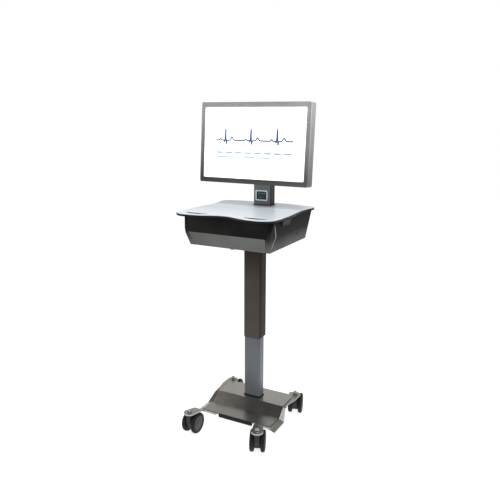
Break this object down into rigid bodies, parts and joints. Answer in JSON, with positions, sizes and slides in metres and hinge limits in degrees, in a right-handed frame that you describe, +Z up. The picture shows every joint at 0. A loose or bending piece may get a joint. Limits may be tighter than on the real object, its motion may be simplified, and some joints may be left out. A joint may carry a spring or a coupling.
{
  "type": "mobile computer workstation cart",
  "caption": "Mobile point-of-care cart: swivel-caster base, height-adjustable column, waved worktop over a shallow drawer, and a tilting all-in-one display on a short mast.",
  "frame": {"origin": "on the floor, under the middle of the whole cart", "axes": "+X to the user's right, +Y to the back, +Z up"},
  "size_m": [0.5566, 0.5289, 1.545],
  "materials": {
    "brushed_stainless": "brushed, satin",
    "bright_fasteners": "polished",
    "tube_aluminium": "satin anodised",
    "sleeve_dark": "satin dark bronze",
    "black_plastic": "matt",
    "bush_plastic": "matt",
    "spring_steel": "satin",
    "box_dark_steel": "satin anthracite",
    "tray_steel": "satin grey",
    "worktop_core_black": "satin",
    "worktop_white": "smooth",
    "status_lcd": "glossy",
    "screen_glass": "clear",
    "panel_white": "lit screen",
    "shell_light_metal": "satin",
    "fork_plastic": "matt",
    "axle_steel": "turned",
    "hub_grey": "matt",
    "tyre_black": "matt"
  },
  "bodies": {
    "base": {"base_frame": "brushed_stainless", "base_cover": "brushed_stainless", "cover_screws": "bright_fasteners", "caster_stems": "bright_fasteners", "caster_nuts": "bright_fasteners", "inner_tube": "tube_aluminium", "foot_gasket": "black_plastic", "glide_bush_upper": "bush_plastic", "gas_spring_cylinder": "spring_steel"},
    "head": {"outer_sleeve": "sleeve_dark", "glide_bush_lower": "bush_plastic", "gas_spring_rod": "spring_steel", "head_plate": "spring_steel", "box_shell": "box_dark_steel", "power_inlet": "black_plastic", "runner_rails": "spring_steel", "power_pack": "black_plastic", "worktop_core": "worktop_core_black", "worktop_laminate": "worktop_white", "lever_bracket": "bright_fasteners", "mast_post": "brushed_stainless", "head_screws": "black_plastic", "status_bezel": "brushed_stainless", "status_display": "status_lcd", "tilt_bracket": "spring_steel", "tilt_pin": "bright_fasteners"},
    "drawer": {"drawer_front": "box_dark_steel", "drawer_tray": "tray_steel", "runner_slides": "spring_steel"},
    "catch": {"drawer_catch": "black_plastic"},
    "lever": {"release_lever": "black_plastic"},
    "display": {"display_bezel": "brushed_stainless", "screen_glass": "screen_glass", "display_panel": "panel_white", "display_shell": "shell_light_metal", "tilt_yoke": "spring_steel"},
    "caster_front_left": {"fork_front_left": "fork_plastic", "axle_front_left": "axle_steel"},
    "wheel_front_left_a": {"hub_front_left_a": "hub_grey", "tyre_front_left_a": "tyre_black"},
    "wheel_front_left_b": {"hub_front_left_b": "hub_grey", "tyre_front_left_b": "tyre_black"},
    "caster_front_right": {"fork_front_right": "fork_plastic", "axle_front_right": "axle_steel"},
    "wheel_front_right_a": {"hub_front_right_a": "hub_grey", "tyre_front_right_a": "tyre_black"},
    "wheel_front_right_b": {"hub_front_right_b": "hub_grey", "tyre_front_right_b": "tyre_black"},
    "caster_rear_left": {"fork_rear_left": "fork_plastic", "axle_rear_left": "axle_steel"},
    "wheel_rear_left_a": {"hub_rear_left_a": "hub_grey", "tyre_rear_left_a": "tyre_black"},
    "wheel_rear_left_b": {"hub_rear_left_b": "hub_grey", "tyre_rear_left_b": "tyre_black"},
    "caster_rear_right": {"fork_rear_right": "fork_plastic", "axle_rear_right": "axle_steel"},
    "wheel_rear_right_a": {"hub_rear_right_a": "hub_grey", "tyre_rear_right_a": "tyre_black"},
    "wheel_rear_right_b": {"hub_rear_right_b": "hub_grey", "tyre_rear_right_b": "tyre_black"}
  },
  "joints": [
    {"name": "column_lift", "type": "slide", "parent": "base", "child": "head", "axis": [0, 0, 1], "range_m": [-0.25, 0.06]},
    {"name": "drawer_slide", "type": "slide", "parent": "head", "child": "drawer", "axis": [0, -1, 0], "range_m": [0, 0.25]},
    {"name": "drawer_catch_push", "type": "slide", "parent": "drawer", "child": "catch", "axis": [0, 0, 1], "range_m": [0, 0.003], "stiffness_N_per_m": 400, "springref_m": -0.001},
    {"name": "release_lever_pull", "type": "hinge", "parent": "head", "child": "lever", "pos_m": [0.234, -0.0804, 1.047], "axis": [0, -1, 0], "range_deg": [0, 22], "stiffness_Nm_per_rad": 0.5, "springref_deg": -5.73},
    {"name": "display_tilt", "type": "hinge", "parent": "head", "child": "display", "pos_m": [0, 0.1336, 1.352], "axis": [1, 0, 0], "range_deg": [-20, 5]},
    {"name": "swivel_front_left", "type": "hinge", "parent": "base", "child": "caster_front_left", "pos_m": [-0.181, -0.2334, 0.09], "axis": [0, 0, 1], "continuous": true},
    {"name": "spin_front_left_a", "type": "hinge", "parent": "caster_front_left", "child": "wheel_front_left_a", "pos_m": [-0.181, -0.2054, 0.05], "axis": [-1, 0, 0], "continuous": true},
    {"name": "spin_front_left_b", "type": "hinge", "parent": "caster_front_left", "child": "wheel_front_left_b", "pos_m": [-0.181, -0.2054, 0.05], "axis": [-1, 0, 0], "continuous": true},
    {"name": "swivel_front_right", "type": "hinge", "parent": "base", "child": "caster_front_right", "pos_m": [0.181, -0.2334, 0.09], "axis": [0, 0, 1], "continuous": true},
    {"name": "spin_front_right_a", "type": "hinge", "parent": "caster_front_right", "child": "wheel_front_right_a", "pos_m": [0.17051, -0.20744, 0.05], "axis": [-0.9272, -0.3746, 0], "continuous": true},
    {"name": "spin_front_right_b", "type": "hinge", "parent": "caster_front_right", "child": "wheel_front_right_b", "pos_m": [0.17051, -0.20744, 0.05], "axis": [-0.9272, -0.3746, 0], "continuous": true},
    {"name": "swivel_rear_left", "type": "hinge", "parent": "base", "child": "caster_rear_left", "pos_m": [-0.181, 0.1816, 0.09], "axis": [0, 0, 1], "continuous": true},
    {"name": "spin_rear_left_a", "type": "hinge", "parent": "caster_rear_left", "child": "wheel_rear_left_a", "pos_m": [-0.18586, 0.20917, 0.05], "axis": [-0.9848, -0.1736, 0], "continuous": true},
    {"name": "spin_rear_left_b", "type": "hinge", "parent": "caster_rear_left", "child": "wheel_rear_left_b", "pos_m": [-0.18586, 0.20917, 0.05], "axis": [-0.9848, -0.1736, 0], "continuous": true},
    {"name": "swivel_rear_right", "type": "hinge", "parent": "base", "child": "caster_rear_right", "pos_m": [0.181, 0.1816, 0.09], "axis": [0, 0, 1], "continuous": true},
    {"name": "spin_rear_right_a", "type": "hinge", "parent": "caster_rear_right", "child": "wheel_rear_right_a", "pos_m": [0.17281, 0.20838, 0.05], "axis": [-0.9563, -0.2924, 0], "continuous": true},
    {"name": "spin_rear_right_b", "type": "hinge", "parent": "caster_rear_right", "child": "wheel_rear_right_b", "pos_m": [0.17281, 0.20838, 0.05], "axis": [-0.9563, -0.2924, 0], "continuous": true}
  ]
}
